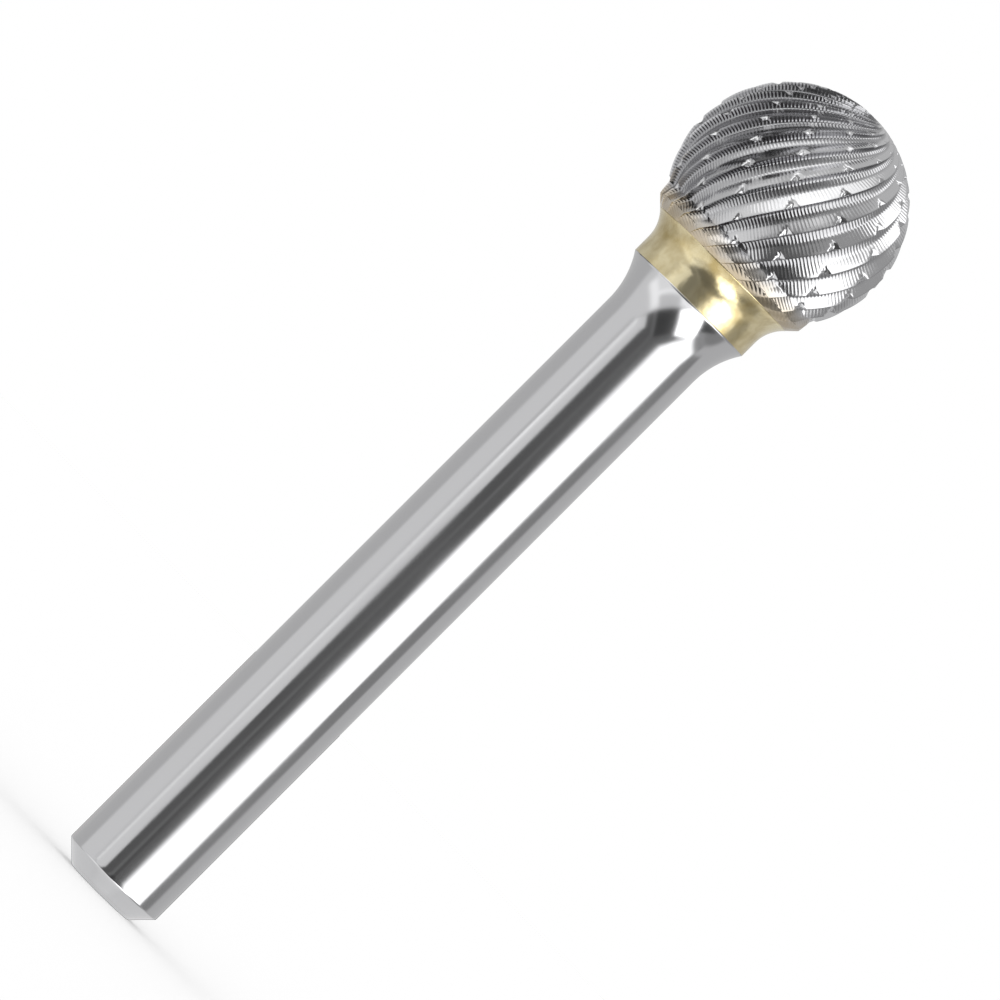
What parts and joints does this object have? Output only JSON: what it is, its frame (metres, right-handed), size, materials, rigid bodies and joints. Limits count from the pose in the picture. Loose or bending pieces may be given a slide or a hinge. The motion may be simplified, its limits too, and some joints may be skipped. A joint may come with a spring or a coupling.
{
  "type": "rotary burr",
  "caption": "Ball-shaped carbide rotary burr with double-cut helical teeth, brazed to a plain round steel shank with a flared collar.",
  "frame": {"origin": "centre of the flat end face of the shank, where the burr stands", "axes": "+Z along the turning axis from the shank's end to the tip of the ball; the first cutting edge crosses the ball's equator near -Y"},
  "size_m": [0.0122, 0.0122, 0.0552],
  "materials": {
    "steel": "ground and polished round the axis",
    "braze": "ground flush, slightly smeared and stained",
    "carbide": "bright diamond-ground cemented carbide with fine grinding ribs across the teeth"
  },
  "bodies": {
    "root": {"shank": "steel", "braze_ring": "braze", "cutting_head": "carbide"}
  },
  "joints": []
}
